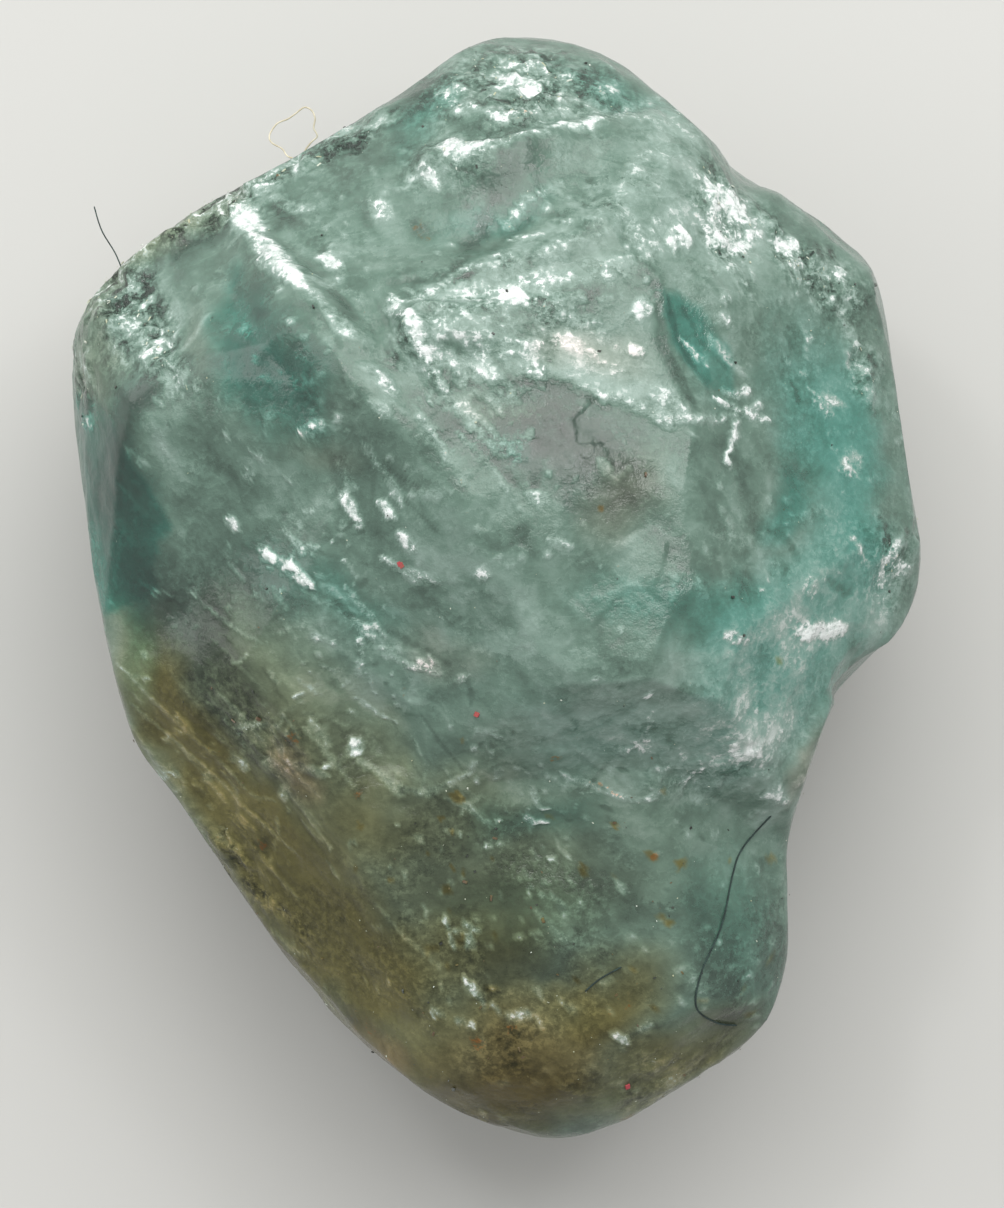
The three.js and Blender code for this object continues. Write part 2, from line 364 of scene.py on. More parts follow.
def chip_distance(ways):
    """How far rays run before the nearest chip ends them. A chip is a plane set a little under the
    surface."""
    probes = spread(2400)
    probes *= block_distance(probes)[:, None]
    index = np.arange(CHIPS)
    normals = spread(CHIPS)
    normals[:, 0] += 0.5 * (scatter(index, 1) - 0.5)
    normals[:, 1] += 0.5 * (scatter(index, 2) - 0.5)
    normals = unit(normals)
    share = np.abs(normals[:, 2]) * scatter(index, 3) ** 2
    distance = (probes @ normals.T).max(0) - (CHIP_LEAST + (CHIP_MOST - CHIP_LEAST) * share)
    facing = ways @ normals.T
    return np.where(facing > 0.05, distance / np.maximum(facing, 0.05), FAR).min(1)


def mounds(x, y, marks):
    """Sum of smooth mounds over ellipses: each is its height times (1 - u^2 - v^2) to the power 1.5,
    where u and v run from 0 in its middle to 1 at its rim."""
    total = np.zeros_like(x)
    for mx, my, along, across, looks, height in marks:
        turn = np.radians(looks)
        u = ((x - mx) * np.cos(turn) + (y - my) * np.sin(turn)) / along
        v = ((y - my) * np.cos(turn) - (x - mx) * np.sin(turn)) / across
        total += height * np.clip(1 - u * u - v * v, 0, 1) ** 1.5
    return total


def strokes(x, y, lines):
    """The strongest of some soft lines: each is its strength times 1 - d^2, where d runs from 0 on
    the line to 1 at its half width."""
    best = np.zeros_like(x)
    for width, strength, points in lines:
        for (ax, ay), (bx, by) in zip(points[:-1], points[1:]):
            dx, dy = bx - ax, by - ay
            t = np.clip(((x - ax) * dx + (y - ay) * dy) / (dx * dx + dy * dy + 1e-9), 0, 1)
            d2 = ((x - ax - t * dx) ** 2 + (y - ay - t * dy) ** 2) / width**2
            best = np.maximum(best, strength * np.clip(1 - d2, 0, 1))
    return best


def random_at(cubes, seed):
    """A repeatable number from 0 to 1 for each cube of space, given by its three whole numbers."""
    number = (cubes * [73856093, 19349663, 83492791]).sum(-1) + seed * 40503
    number = (number ^ (number >> 13)) & 0x7FFFFFFF
    number = (number * 1274126177) & 0x7FFFFFFF
    number = ((number ^ (number >> 15)) * 97531) & 0x7FFFFFFF
    return (number ^ (number >> 11)) % 65536 / 65536


def cloud_at(points, size, octaves, seed):
    """Uneven cloud from 0 to 1: a random number at each corner of cubes of this size, eased between
    by 3t^2 - 2t^3, then added again at half the size and half the strength for each octave."""
    total, weight = np.zeros(len(points)), 0.0
    for octave in range(octaves):
        grid = points * (2**octave / size) + 31.7 * (octave + 1)
        low = np.floor(grid).astype(np.int64)
        part = grid - low
        part = part * part * (3 - 2 * part)
        for corner in range(8):
            step = np.array([corner & 1, corner >> 1 & 1, corner >> 2 & 1])
            share = np.where(step, part, 1 - part).prod(1)
            total += 0.5**octave * share * random_at(low + step, seed + octave)
        weight += 0.5**octave
    return total / weight


def nearest_seed(points, size, seed):
    """Space is cut into cubes with one random seed in each. Returns the place of the seed nearest to
    each point, looked for in the 27 cubes round it, and its number, from 0 to 977, for scatter."""
    low = np.floor(points / size).astype(np.int64)
    best = np.full(len(points), np.inf)
    place, number = np.zeros_like(points), np.zeros(len(points))
    for index in range(27):
        cube = low + np.array([index % 3, index // 3 % 3, index // 9]) - 1
        jitter = np.stack([random_at(cube, seed + salt) for salt in (1, 2, 3)], 1)
        here = (cube + jitter) * size
        distance = ((points - here) ** 2).sum(1)
        closer = distance < best
        best = np.where(closer, distance, best)
        place = np.where(closer[:, None], here, place)
        number = np.where(closer, random_at(cube, seed + 4), number)
    return place, number * 977


def flat_breaks(points, size, slope, step, seed):
    """Small flat breaks: a point belongs to the break of its nearest seed, and stands off by that
    break's slope times its way from the seed, plus that break's own step."""
    place, number = nearest_seed(points, size, seed)
    tilt = np.stack([scatter(number, salt) - 0.5 for salt in (11, 12, 13)], 1) * 2 * slope
    return ((points - place) * tilt).sum(1) + (scatter(number, 14) - 0.5) * 2 * step


def pits(points, size, depth, seed):
    """Round pits: each has its own radius r, up to half the size, and is its depth times
    (1 - (d / r)^2) deep at the distance d from its middle."""
    place, number = nearest_seed(points, size, seed)
    radius = size * (0.12 + 0.38 * scatter(number, 21))
    far = ((points - place) ** 2).sum(1) / radius**2
    return -depth * radius / size * np.clip(1 - far, 0, 1)


# Where the surface is frosted and pitted: mounds again, with how strongly for the height
FROST = [
    (-5.4, 3.9, 1.5, 0.8, 108, 1.3), (-4.5, 5.4, 1.7, 0.4, 32, 1.3), (-2.4, 6.5, 1.6, 0.3, 27, 1.1),
    (0.4, 7.3, 1.9, 0.8, 0, 1.1), (3.3, 5.5, 0.9, 0.6, 140, 1.3), (4.7, 4.7, 1.2, 0.4, 140, 1.2),
    (5.4, 3.3, 1.2, 0.35, 105, 0.8), (0.4, -6.5, 2.2, 0.8, 12, 0.15), (-3.4, -2.2, 1.5, 0.6, 132, 0.3),
    (5.8, 0.4, 0.8, 0.6, 90, 0.9), (-6.2, 3.3, 0.9, 0.2, 92, 0.7), (3.4, -2.6, 1.4, 0.4, 10, 0.35),
    (-3.8, -4.2, 2.0, 0.3, 127, 0.5), (2.7, -7.2, 1.4, 0.4, 38, 0.5), (-0.6, 6.4, 0.9, 0.4, 10, 0.6),
]
# Where the stone is cloudy white, and painted light: places painted lighter, such as the right side and
# beside the foot of the ledge
MILKY_AND_LIT = [
    (0.3, 4.25, 2.0, 0.5, 14, 0.45), (1.6, 3.2, 1.6, 0.5, -18, 0.3), (2.3, 6.3, 1.3, 1.0, 60, 1.3),
    (2.0, 4.9, 1.6, 0.5, 42, 0.4), (-1.4, 5.8, 1.2, 0.4, 30, 0.4), (0.9, 6.9, 1.4, 0.35, 10, 0.4),
    (3.3, 5.3, 1.1, 0.7, -20, 1.5), (-5.0, 3.1, 0.9, 0.45, 130, 0.5), (-3.0, 5.1, 1.0, 0.3, 30, 0.4),
    (-2.2, -1.6, 1.6, 0.7, -50, 0.2), (1.8, 0.6, 1.5, 0.7, 0, 0.25), (2.2, 1.6, 1.1, 0.7, 20, 0.2),
    (4.3, -2.0, 1.0, 0.5, 50, 0.4), (2.9, -1.7, 2.2, 0.8, -10, 0.4), (0.2, -6.5, 1.6, 0.6, 20, 0.4),
    (1.0, -2.1, 2.0, 0.5, -8, 0.25), (-3.4, 1.3, 1.6, 0.5, -20, 0.2), (-4.7, 1.9, 1.2, 0.4, -55, 0.3),
    (5.8, -0.1, 0.8, 0.5, 70, 0.6), (-1.0, 0.6, 1.4, 0.5, -50, 0.3), (1.0, 3.7, 2.0, 0.7, -5, 0.15),
    (-1.4, 2.6, 1.6, 0.4, -55, 0.4), (0.1, 2.4, 1.5, 0.3, -45, 0.2), (-4.85, 4.3, 1.0, 0.2, 85, 0.5),
    (-2.2, 4.9, 0.7, 0.5, 0, 0.4), (4.5, -0.6, 1.0, 0.4, 0, 0.4), (-0.4, -2.6, 1.0, 0.5, 20, 0.3),
    (4.3, -0.8, 2.6, 1.7, 60, 0.95), (3.2, 4.6, 1.6, 1.2, 120, 0.9), (3.9, -5.0, 1.7, 0.8, 90, 0.5),
    (2.3, -2.2, 2.4, 1.0, -10, 0.6), (-0.6, -0.6, 2.2, 1.2, 0, 0.45), (5.0, 2.4, 2.4, 0.9, 100, 0.5),
    (1.8, -5.0, 1.8, 0.6, 0, 0.35), (4.2, -3.3, 0.7, 0.4, 0, 0.5),
]
# Where it is clear and deeper blue-green
CLEAR = [
    (-3.2, 3.1, 1.7, 1.0, 112, 0.9), (-5.6, 1.4, 2.0, 0.8, 98, 0.6), (3.0, 3.3, 1.15, 0.6, 118, 0.3),
    (4.9, 2.2, 2.6, 1.1, 100, 0.8), (5.6, 1.0, 2.8, 0.8, 95, 0.3), (2.6, -0.3, 1.9, 0.8, 0, 0.6),
    (-0.1, 5.6, 1.3, 0.4, 20, 0.5),
    (3.4, -4.9, 1.7, 0.9, 100, 0.45), (-3.0, 0.1, 1.1, 0.7, 150, 0.4), (-1.0, 7.0, 0.8, 0.5, 60, 0.5),
    (1.6, 7.3, 1.3, 0.5, -20, 0.5), (-2.1, -0.3, 0.9, 0.5, 140, 0.4), (4.1, 1.1, 0.7, 0.5, 60, 0.8),
    (0.6, -3.4, 1.4, 0.6, 10, 0.4), (-5.4, -0.6, 1.6, 0.4, 95, 0.5), (0.3, 1.9, 0.8, 0.4, -40, 0.4),
    (4.3, -0.9, 2.6, 1.5, 60, 0.8), (1.6, -2.2, 2.2, 0.8, -10, 0.3), (0.6, -4.8, 2.2, 1.0, 0, 0.3),
]
# Clear windows: how clear, how much darker as painted shade (lighter as painted light where below 0),
# how wide their soft edge, corners counter-clockwise
WINDOWS = [
    (1.0, 0.01, 0.15, [
        (-6.4, 2.9), (-6.3, 0.8), (-5.95, -0.5), (-5.2, -0.1), (-4.75, 0.95), (-5.1, 1.6), (-5.9, 2.9),
    ]),
    (0.75, 0.04, 0.15, [(2.3, 4.45), (2.45, 3.6), (2.95, 2.95), (3.6, 2.7), (3.5, 3.5), (3.0, 4.2)]),
    (0.8, -0.03, 0.5, [
        (-4.37, 3.86), (-4.2, 2.5), (-2.94, 2.36), (-2.5, 2.8), (-3.1, 4.0), (-3.6, 4.84), (-4.0, 4.76),
    ]),
]
# Painted shade: where little light comes back the tone is painted darker, in part also over the stone's
# own darker places
SHADED = [
    (-5.6, 1.4, 2.2, 0.9, 98, 1.0), (-4.5, -1.2, 2.2, 1.1, 122, 0.7), (-2.9, -4.6, 3.2, 1.5, 125, 0.9),
    (0.0, -4.8, 3.0, 1.9, 0, 1.0), (0.4, -7.3, 2.6, 1.3, 8, 1.0), (3.5, -5.4, 1.8, 1.3, 90, 0.6),
    (2.9, -7.0, 1.6, 0.8, 40, 0.5), (-3.2, 3.0, 1.2, 0.8, 112, 0.3), (-0.4, 6.0, 0.9, 0.3, 20, 0.7),
    (-4.6, -1.1, 2.2, 1.2, 115, 1.0), (0.9, 2.25, 2.3, 0.8, 170, 0.8), (-4.6, 4.9, 1.6, 0.4, 35, 0.7),
    (-3.3, 3.3, 1.6, 1.0, 112, 0.4), (1.9, 1.3, 1.2, 0.6, 60, 0.4), (-2.1, 1.5, 1.2, 0.7, 130, 0.3),
    (0.0, 5.2, 1.2, 0.25, 60, 0.5), (1.4, 7.2, 1.2, 0.4, -20, 0.3), (-1.2, 7.1, 0.6, 0.3, 45, 0.6),
    (-3.5, -1.9, 2.6, 1.6, 125, 0.5), (-3.4, 0.3, 1.9, 1.2, 130, 0.5), (-2.0, 3.0, 1.4, 0.8, 120, 0.4),
    (0.6, 2.0, 2.4, 1.0, 165, 0.6), (-1.2, -3.2, 2.4, 1.4, 150, 0.6), (-3.8, 0.2, 1.4, 0.9, 140, 0.7),
    (-4.9, -2.2, 1.2, 0.6, 125, 1.0), (-2.3, -2.3, 1.0, 0.7, 130, 0.6), (0.5, -6.0, 2.4, 1.2, 5, 0.6),
    (-0.6, -3.3, 2.2, 0.6, 0, 0.3), (-5.3, 2.3, 0.9, 0.5, 100, 0.5),
]
# Where the stain of the foot and the lower left side lies
OLIVE = [
    (-2.7, -5.2, 3.4, 1.4, 127, 1.0), (0.4, -7.0, 2.6, 1.3, 8, 0.9), (-4.2, -3.0, 2.2, 0.9, 122, 0.6),
    (1.8, -5.9, 1.3, 0.8, 40, 0.7), (-0.2, -4.6, 2.6, 1.4, 0, 0.35), (-4.9, 5.1, 1.8, 0.4, 38, 0.35),
    (-6.0, 3.4, 1.5, 0.4, 90, 0.2), (2.9, -7.0, 1.6, 0.8, 40, 0.8), (-3.0, -2.4, 3.0, 1.7, 127, 0.55),
    (-1.2, -3.3, 2.2, 0.9, 10, 0.35), (-0.6, -5.7, 2.0, 1.1, 0, 0.5), (0.4, -7.8, 2.4, 0.7, 5, 0.5),
    (-5.0, -1.6, 1.9, 0.9, 115, 0.8), (-0.5, -4.6, 5.5, 3.2, 0, 0.15),
]
# Faint pink and buff clouds, and pink painted on the right and lower left rims for light that comes
# through them
ROSY = [
    (1.9, 1.4, 1.1, 0.7, 60, 0.8), (-4.4, 3.7, 0.7, 0.3, 95, 0.2), (-2.6, 1.9, 0.7, 0.4, 0, 0.5),
    (0.3, 2.6, 1.2, 0.25, -10, 0.3), (-1.7, -7.0, 0.9, 0.4, -50, 0.8), (-2.9, -2.7, 0.4, 0.6, 20, 0.9),
    (1.3, 3.4, 1.2, 0.5, -10, 0.4), (-0.9, -1.0, 1.1, 0.4, -20, 0.4), (4.6, -2.6, 1.0, 0.25, 62, 0.7),
    (0.3, -7.2, 2.4, 0.9, 8, 0.45),
]
# Rust-brown spots
RUST = [
    (-2.95, -2.2, 0.3, 0.18, 10, 1.0), (0.93, -2.47, 0.25, 0.1, 20, 0.9),
    (1.6, -2.95, 0.6, 0.08, -25, 0.8), (2.3, -3.95, 0.2, 0.14, 40, 0.9),
    (0.2, -6.65, 0.22, 0.13, 30, 0.9), (-0.3, -6.8, 0.25, 0.16, 0, 0.9),
    (-3.45, -3.8, 0.22, 0.14, 30, 0.7), (2.0, -6.1, 0.7, 0.3, 20, 0.5),
    (-1.9, -6.5, 0.6, 0.3, 130, 0.4), (-1.12, 5.4, 0.22, 0.2, 0, 0.9),
    (-2.05, -3.0, 0.12, 0.14, 0, 0.9), (-1.35, -1.5, 0.1, 0.16, 0, 0.7),
    (0.5, 6.9, 0.25, 0.08, 15, 0.7), (3.1, 5.35, 0.12, 0.08, 0, 0.7),
]
# White breaks, and painted highlights and glints among them, as along the upper left ridge, the ledges
# and at the foot: half width in thousandths of a millimetre, strength in hundredths, and the places of
# their points in hundredths of a millimetre
WHITE_BREAKS_AND_GLINTS = [
    (140, 100, 295, 575, 325, 550, 360, 545), (120, 100, 310, 505, 370, 500),
    (70, 95, -140, 75, -115, 50), (70, 75, -165, 40, -120, 15, -85, 10),
    (70, 50, -120, 260, -85, 210, -75, 185), (50, 40, -55, 220, -20, 185, 15, 130),
    (50, 70, -220, 0, -185, -40, -160, -75), (50, 70, -170, -85, -130, -115, -85, -120),
    (50, 60, -190, 200, -150, 150, -130, 110), (160, 100, -395, 540, -351, 545),
    (250, 100, -372, 540, -350, 510), (105, 100, -357, 539, -342, 503),
    (160, 100, -345, 506, -306, 455, -265, 412), (90, 60, -265, 412, -232, 382),
    (120, 55, -232, 382, -208, 347, -189, 344), (135, 95, -258, 482, -227, 467),
    (75, 70, -227, 467, -228, 439), (105, 95, -186, 568, -162, 556), (105, 90, -150, 419, -147, 386),
    (120, 100, -124, 386, -111, 349), (105, 100, -111, 349, -84, 293),
    (135, 60, -84, 293, -39, 244, 28, 176), (90, 90, -164, 299, -143, 266),
    (105, 70, -162, 251, -154, 233), (60, 85, -136, 407, -43, 451, 21, 469),
    (75, 60, 21, 469, 96, 488, 156, 529), (105, 100, -48, 419, -27, 421), (150, 100, 6, 428, 39, 416),
    (90, 95, 28, 436, 114, 451), (135, 50, -9, 481, 36, 454), (180, 50, 51, 401, 96, 404),
    (45, 85, 14, 544, 28, 571, 58, 593, 103, 604), (52, 90, 24, 514, 73, 521),
    (75, 70, 103, 551, 103, 533), (120, 55, 171, 551, 186, 521, 223, 481),
    (105, 100, 249, 496, 276, 503), (150, 100, 301, 556, 344, 572),
    (90, 80, 294, 521, 331, 503, 388, 518), (165, 85, 196, 398, 223, 404),
    (82, 100, 196, 346, 211, 331), (105, 75, 39, 316, 66, 311), (105, 70, 160, 323, 178, 314),
    (90, 70, -65, 319, -54, 308), (120, 55, -61, 371, -14, 341),
    (75, 70, 119, 286, 178, 274, 238, 241, 309, 241, 351, 251), (180, 50, 227, 281, 276, 251),
    (60, 100, 354, 256, 321, 277), (52, 90, 354, 256, 396, 241), (52, 90, 358, 259, 384, 269),
    (52, 90, 354, 256, 348, 221, 339, 179), (75, 100, 339, 182, 339, 172),
    (60, 95, 328, 293, 352, 280, 366, 293), (45, 85, 269, 368, 291, 349, 313, 326),
    (45, 80, 328, 394, 344, 380), (52, 55, 321, 364, 354, 316), (52, 90, 328, 424, 336, 413),
    (90, 45, 141, 181, 167, 151, 193, 169), (90, 75, 46, 124, 73, 113), (120, 80, -159, 106, -150, 106),
    (75, 50, 73, 61, 106, 56), (90, 100, -227, 136, -202, 98, -195, 83), (75, 80, -286, 221, -246, 235),
    (60, 70, -392, 214, -384, 214), (60, 55, -352, 194, -336, 185), (75, 60, -366, 169, -355, 151),
    (105, 95, -345, 55, -307, 32, -270, 2), (75, 80, -396, 98, -375, 82), (60, 75, -167, 119, -143, 95),
    (120, 75, -444, 295, -433, 293), (60, 70, -99, -101, -84, -121), (90, 85, -32, 19, -15, 17),
    (90, 70, -210, -47, -175, -74), (75, 80, -114, -106, -79, -131), (105, 95, -222, -232, -208, -254),
    (75, 70, -382, -251, -371, -271), (75, 60, 459, 289, 489, 251), (105, 70, 583, 49, 610, 23),
    (120, 100, 441, -67, 513, -61), (75, 60, 330, -70, 366, -79), (60, 90, 213, -154, 223, -157),
    (60, 75, 141, -130, 148, -133), (60, 80, 177, -241, 189, -236), (75, 70, 349, -232, 349, -259),
    (120, 95, 411, 509, 444, 502), (105, 90, 498, 473, 513, 455),
    (60, 60, 96, -274, 156, -296, 199, -314, 252, -296, 298, -274), (60, 80, 280, -275, 303, -271),
    (60, 75, 378, -305, 425, -308), (90, 55, 437, -289, 465, -256, 512, -175),
    (60, 45, -211, -262, -144, -304, -84, -296, -24, -259), (120, 100, -84, 623, -16, 637),
    (75, 90, -16, 637, 21, 646, 84, 656), (105, 90, 84, 659, 126, 674, 162, 686),
    (60, 70, 162, 686, 216, 671), (75, 85, -108, 598, -87, 593), (90, 85, -90, 739, -72, 713, -51, 689),
    (60, 70, -66, 746, -39, 724), (105, 95, -9, 691, 33, 698), (60, 70, -39, 704, -21, 695),
    (45, 60, 165, 685, 216, 713, 258, 722, 306, 694, 355, 632), (45, 90, 262, 712, 262, 689),
    (60, 60, 36, 776, 58, 773), (60, 60, 96, 758, 119, 746), (60, 60, 153, 739, 165, 719),
    (45, 60, -24, 761, -6, 752), (45, 60, 66, 724, 84, 719), (45, 60, 6, 739, 24, 743),
    (50, 100, 47, -328, 46, -345, 60, -358, 80, -355), (50, 80, 62, -325, 78, -328),
    (40, 100, -79, -481, -70, -500, -62, -533), (45, 100, -62, -510, -40, -502, -20, -512),
    (50, 100, -50, -530, -35, -515), (50, 100, 170, -660, 192, -668), (45, 100, 205, -650, 230, -642),
    (60, 90, -50, -575, -30, -600, -22, -625), (35, 100, 10, -650, 50, -645, 75, -660),
    (30, 100, -100, -630, -60, -640, -30, -660), (50, 80, 60, -605, 75, -620),
    (50, 80, -99, -620, -75, -630), (35, 85, -20, -615, 2, -640), (75, 80, -48, -518, -28, -530),
    (30, 50, 80, -610, 110, -630, 140, -620), (45, 90, 178, -682, 190, -670),
    (40, 80, 212, -662, 230, -645),
    (30, 40, -547, -169, -496, -211, -444, -256, -369, -326, -294, -394),
    (30, 35, -519, -154, -429, -236, -369, -296), (30, 35, -564, -109, -504, -169, -459, -206),
]
# Dark gaps between them, in the same way
DARK_GAPS = [
    (80, 60, -145, 250, -90, 180, -45, 130), (60, 60, -60, 235, 0, 170, 30, 135),
    (60, 60, -250, 0, -210, -50, -180, -90), (150, 80, 1, 589, -24, 536, -61, 461, -121, 443),
    (135, 60, -32, 401, 6, 386), (120, 60, 77, 364, 79, 326), (75, 50, -73, 364, -39, 319, -16, 289),
    (105, 70, 36, 301, 96, 289, 164, 260), (120, 90, 51, 209, 60, 185), (75, 60, 114, 503, 126, 494),
    (75, 90, 162, 176, 165, 170), (90, 70, 231, 443, 238, 356, 294, 256), (135, 60, 358, 146, 378, 71),
    (60, 80, -480, 242, -477, 238), (105, 70, -489, 364, -489, 326),
    (105, 60, -238, 424, -216, 394, -201, 371), (120, 50, -324, 559, -294, 529, -249, 488),
    (120, 60, -406, -169, -369, -229), (90, 50, -369, -154, -351, -199),
    (75, 60, -459, -116, -444, -139), (75, 70, 324, 542, 330, 533),
    (50, 60, 245, 430, 260, 380, 295, 320), (40, 50, 275, 410, 305, 360, 340, 320),
    (90, 80, 50, 190, 55, 130), (70, 70, -30, 240, 10, 190, 50, 160),
    (60, 70, 90, 230, 120, 170, 130, 120), (90, 50, -144, 656, -99, 634, -39, 596),
    (90, 50, -39, 671, 36, 674, 96, 689),
]
# The feathery wing of white cracks opens from its apex: compass angle and reach of its rim
WING_APEX = (-1.6, 3.75)
WING_RIM = np.array([
    (-60, 0.5), (-42, 1.3), (-30, 2.6), (-22, 2.6), (-16, 5.2), (-12, 4.2), (-6, 3.7), (4, 3.5),
    (12, 3.9), (20, 3.6), (26, 4.4), (32, 5.6), (40, 1.2),
])
FEATHERS, SMALL_BREAKS, SMALL_GAPS, SPARKS = 90, 420, 300, 500
TOP_FIELD = (6.3, 8.2)  # half width and height of the top, seen from above
SIDE_FIELD = (18.8, 3.6)  # half length and height of the sides, rolled out flat
TAIL_MIDDLE = (0.6, -5.0)
TAIL_FIELD = (4.2, 2.8)
STAINED_FIELD = (2.6, 2.8)
UPPER_FROM, SIDED_FROM = -1.0, -2.8  # heights, from the heart, where top and upper sides begin
RISE = 1.6
CLEAVAGE_HEADING = -50  # most streaks run from the upper left to the lower right
# Raised edges, in the same way, with a height in hundredths of a millimetre for the strength
EDGES = [
    (300, 14, -390, 550, -350, 500, -305, 455, -265, 420, -195, 345),
    (250, 12, -150, 405, -120, 375, -100, 330, -80, 300),
    (250, 10, -140, 410, -40, 450, 30, 470, 100, 490, 160, 530),
    (300, 16, -95, 620, -15, 625, 95, 655, 215, 670),
    (300, 5, 100, -280, 180, -305, 250, -290, 300, -275, 405, -305, 440, -295),
    (250, 12, 440, -280, 465, -240, 500, -180), (250, 5, -165, -295, -75, -300, -20, -260, 90, -255),
]


def line_rows(rows):
    """Rows of whole numbers as lines: half width, strength or height, and points."""
    return [
        (width / 1000, strength / 100, np.reshape(places, (-1, 2)) / 100)
        for width, strength, *places in rows
    ]


def covered(x, y, marks, most=1.0):
    """The mounds kept between 0 and the most."""
    return np.clip(mounds(x, y, marks), 0, most)


def risen(height, low):
    """0 up to the low height, and from there evenly up to 1, which it reaches a whole rise higher."""
    return np.clip((height - low) / RISE, 0, 1)


def window(x, y, corners, soft):
    """1 inside a convex patch, falling to 0 at its edges over a soft margin: the least distance to the
    lines through its sides."""
    least = np.full_like(x, np.inf)
    for (ax, ay), (bx, by) in zip(corners, corners[1:] + corners[:1]):
        length = np.hypot(bx - ax, by - ay)
        least = np.minimum(least, ((bx - ax) * (y - ay) - (by - ay) * (x - ax)) / length)
    return np.clip(least / soft, 0, 1)


def drawn_out(points, heading, stretch):
    """The points with their way along a compass angle divided by the stretch, so that a cloud on them
    is drawn out that way."""
    turn = np.radians(heading)
    along = points[:, 0] * np.cos(turn) + points[:, 1] * np.sin(turn)
    across = points[:, 1] * np.cos(turn) - points[:, 0] * np.sin(turn)
    return np.stack([along / stretch, across, points[:, 2]], 1)


def evened(cloud):
    """The cloud less its mean, over its standard deviation, cut off at 2."""
    return np.clip((cloud - cloud.mean()) / cloud.std(), -2, 2)


def threads(points, size, octaves, width, seed):
    """Thin crooked lines where a cloud passes through its middle: 1 on the line, 0 at its half width,
    which is given in standard deviations of the cloud."""
    return np.clip(1 - np.abs(evened(cloud_at(points, size, octaves, seed))) / width, 0, 1)


def shards(points, size, seed):
    """One random tone from 0 to 1 for each cell of space nearest to a seed."""
    return scatter(nearest_seed(points, size, seed)[1], 31)


def small_lines(start, heading, length, width, strength, bend):
    """Short lines of two runs each, the second turned a little from the first."""
    turn = np.radians(heading)
    half = start + headed(turn) * length[:, None] / 2
    end = half + headed(turn + np.radians(bend)) * length[:, None] / 2
    return list(zip(width, strength, np.stack([start, half, end], 1)))


def feather_lines(count, random):
    """Small lines that start inside the wing and run away from its apex."""
    share = random.uniform(0, 1, (count, 6))
    heading = -42 + 76 * share[:, 0] ** 0.8
    reach = np.interp(heading, WING_RIM[:, 0], WING_RIM[:, 1]) * (0.03 + 0.8 * share[:, 1])
    start = np.array(WING_APEX) + headed(np.radians(heading)) * reach[:, None]
    return small_lines(
        start, heading + 10 * (share[:, 2] - 0.3), 0.2 + 0.9 * share[:, 3] ** 2,
        0.035 + 0.07 * share[:, 4] ** 2, 0.2 + 0.5 * share[:, 5] ** 2, random.normal(0, 15, count)
    )


def streak_lines(count, half, longest, widest, strongest, random):
    """Small lines over a field of this half width and half height, most of them along the cleavage,
    closer together where a broad cloud is dense."""
    start = np.stack([random.uniform(-side, side, count * 4) for side in half], 1)
    cloud = cloud_at(np.column_stack([start, np.zeros(len(start))]), 1.6, 3, 201)
    start = start[np.argsort(-cloud + random.uniform(0, 0.35, len(start)))[:count]]
    share = random.uniform(0, 1, (count, 4))
    heading = np.where(share[:, 0] < 0.75, CLEAVAGE_HEADING, 15) + random.normal(0, 18, count)
    return small_lines(
        start, heading, 0.06 + longest * share[:, 1] ** 3, 0.03 + widest * share[:, 2] ** 2,
        strongest * (0.25 + 0.75 * share[:, 3] ** 2), random.normal(0, 30, count)
    )


def marks_over(count, middle, half, longest, widest, strongest, random):
    """Small lines in any heading over an oval patch, closer together in its middle."""
    share = random.uniform(0, 1, (count, 4))
    return small_lines(
        np.array(middle) + random.normal(0, 0.5, (count, 2)) * half, 360 * share[:, 0],
        0.04 + longest * share[:, 1] ** 2, 0.025 + widest * share[:, 2] ** 2,
        strongest * (0.4 + 0.6 * share[:, 3]), random.normal(0, 40, count)
    )


def scratches_over(count, middle, half, heading, longest, strongest, random):
    """Fine lines along one heading over an oval patch."""
    share = random.uniform(0, 1, (count, 2))
    return small_lines(
        np.array(middle) + random.normal(0, 0.5, (count, 2)) * half,
        heading + random.normal(0, 4, count), 0.2 + longest * share[:, 0] ** 2, np.full(count, 0.028),
        strongest * (0.4 + 0.6 * share[:, 1]), random.normal(0, 5, count)
    )


def painted_lines(x, y, ragged, lines):
    """The strongest of many soft lines, each worked out only for the points near it. A line's half
    width is multiplied by the ragged cloud, and narrows towards its two ends as the square root of
    4t(1 - t), where t runs from 0 to 1 along it. It fades to the side as 1 - d^2."""
    best = np.zeros_like(x)
    for width, strength, points in lines:
        points = np.asarray(points, float)
        low, high = points.min(0) - 2 * width, points.max(0) + 2 * width
        near = np.nonzero((x > low[0]) & (x < high[0]) & (y > low[1]) & (y < high[1]))[0]
        runs = np.hypot(*np.diff(points, axis=0).T)
        done, gap, share = 0.0, np.full(len(near), np.inf), np.zeros(len(near))
        for (ax, ay), (bx, by), run in zip(points[:-1], points[1:], runs):
            dx, dy = bx - ax, by - ay
            t = ((x[near] - ax) * dx + (y[near] - ay) * dy) / (run * run + 1e-9)
            inside = np.clip(t, 0, 1)
            here = np.hypot(x[near] - ax - inside * dx, y[near] - ay - inside * dy)
            share = np.where(here < gap, (done + inside * run) / runs.sum(), share)
            gap = np.minimum(gap, here)
            done += run
        full = width * ragged[near] * (0.5 + 0.9 * np.sqrt(np.clip(4 * share * (1 - share), 0, 1)))
        best[near] = np.maximum(best[near], strength * np.clip(1.1 - 1.1 * (gap / full) ** 2, 0, 1))
    return best


def on_top(lines):
    """Lines painted straight down on the top."""
    return painted_lines(near_x, near_y, ragged, lines) * upper


def on_sides(lines):
    """Lines painted on the lower sides, rolled out flat."""
    return painted_lines(rolled_x, rolled_y, ragged, lines) * (1 - upper)


